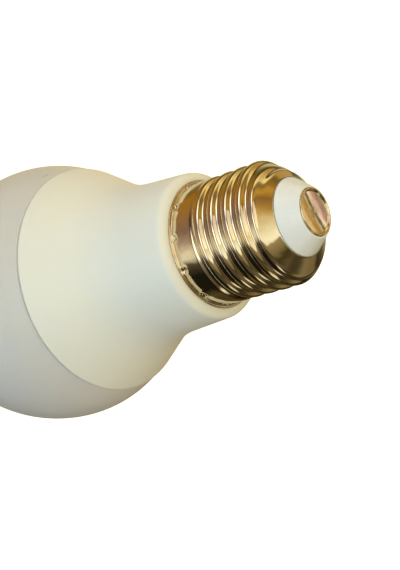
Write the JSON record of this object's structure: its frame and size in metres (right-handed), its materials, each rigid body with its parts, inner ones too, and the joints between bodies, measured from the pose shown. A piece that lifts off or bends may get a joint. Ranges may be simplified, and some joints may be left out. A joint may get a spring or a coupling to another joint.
{
  "type": "smart light bulb",
  "caption": "Screw-cap smart LED bulb: rolled metal cap, white housing with collar and neck, frosted globe, and inside it LED board, heat sink, driver and radio module.",
  "frame": {"origin": "middle of the centre contact's outer face, on the lamp's axis", "axes": "+Z along the lamp's axis from the globe to the cap, the way the cap enters a holder; the wireless module stands towards -Y of the driver board"},
  "size_m": [0.0597, 0.0596, 0.1079],
  "materials": {
    "nickel_plate": "bright nickel plate over drawn brass, rolled",
    "insulator_white": "smooth white thermoset, satin",
    "contact_metal": "bright plated, turned and slightly dished",
    "lead_live": "red insulation, matt",
    "lead_neutral": "black insulation, matt",
    "housing_plastic": "off-white thermoplastic, satin gloss",
    "dome_plastic": "milky translucent polycarbonate, satin",
    "sealant": "cured silicone, soft",
    "spun_aluminium": "drawn, satin",
    "pad_grey": "filled silicone pad, matt",
    "led_board_white": "white solder mask on aluminium",
    "led_ceramic": "moulded white package",
    "phosphor_warm": "orange-yellow phosphor in clear resin",
    "phosphor_cool": "lemon-yellow phosphor in clear resin",
    "colour_window": "clear resin over three colour dies",
    "screw_steel": "zinc plated",
    "sleeve_plastic": "black flame-retardant polycarbonate",
    "board_green": "green solder mask on glass-epoxy laminate",
    "capacitor_can": "dark blue shrink sleeve on an aluminium can",
    "tinned_wire": "tinned copper",
    "resistor_coat": "grey-green cement coat",
    "varistor_coat": "blue epoxy dip",
    "ferrite": "sintered ferrite, matt",
    "magnet_wire": "enamelled copper wire",
    "film_box": "yellow epoxy-filled box",
    "bobbin_plastic": "black phenolic",
    "winding_tape": "yellow polyester tape",
    "chip_black": "moulded epoxy",
    "resistor_chip": "glazed black on alumina",
    "capacitor_chip": "tan ceramic",
    "module_mask": "near-black solder mask on laminate",
    "shield_can": "tinned steel",
    "antenna_copper": "gold-flashed copper trace",
    "header_black": "moulded nylon",
    "pin_metal": "gold-flashed pins",
    "socket_white": "moulded white nylon"
  },
  "bodies": {
    "root": {"screw_shell": "nickel_plate", "cap_insulator": "insulator_white", "centre_contact": "contact_metal", "housing": "housing_plastic", "diffuser_dome": "dome_plastic", "dome_sealant": "sealant", "heat_sink": "spun_aluminium", "thermal_pad": "pad_grey", "led_board": "led_board_white", "white_led_bodies": "led_ceramic", "warm_phosphors": "phosphor_warm", "cool_phosphors": "phosphor_cool", "colour_led_bodies": "led_ceramic", "colour_led_windows": "colour_window", "led_board_screws": "screw_steel", "driver_sleeve": "sleeve_plastic", "live_lead": "lead_live", "neutral_lead": "lead_neutral", "driver_board": "board_green", "bulk_capacitor": "capacitor_can", "output_capacitor": "capacitor_can", "capacitor_leads": "tinned_wire", "fuse_resistor": "resistor_coat", "fuse_leads": "tinned_wire", "surge_varistor": "varistor_coat", "varistor_leads": "tinned_wire", "choke_core": "ferrite", "choke_winding": "magnet_wire", "film_capacitor": "film_box", "transformer_core": "ferrite", "transformer_bobbin": "bobbin_plastic", "transformer_winding": "winding_tape", "transformer_pins": "tinned_wire", "bridge_rectifier": "chip_black", "driver_chip": "chip_black", "output_diode": "chip_black", "chip_legs": "tinned_wire", "chip_resistors": "resistor_chip", "chip_capacitors": "capacitor_chip", "module_board": "module_mask", "module_shield": "shield_can", "radio_chip": "chip_black", "module_antenna": "antenna_copper", "module_header": "header_black", "module_pins": "pin_metal", "board_header": "header_black", "board_pins": "pin_metal", "board_socket": "socket_white"}
  },
  "joints": []
}
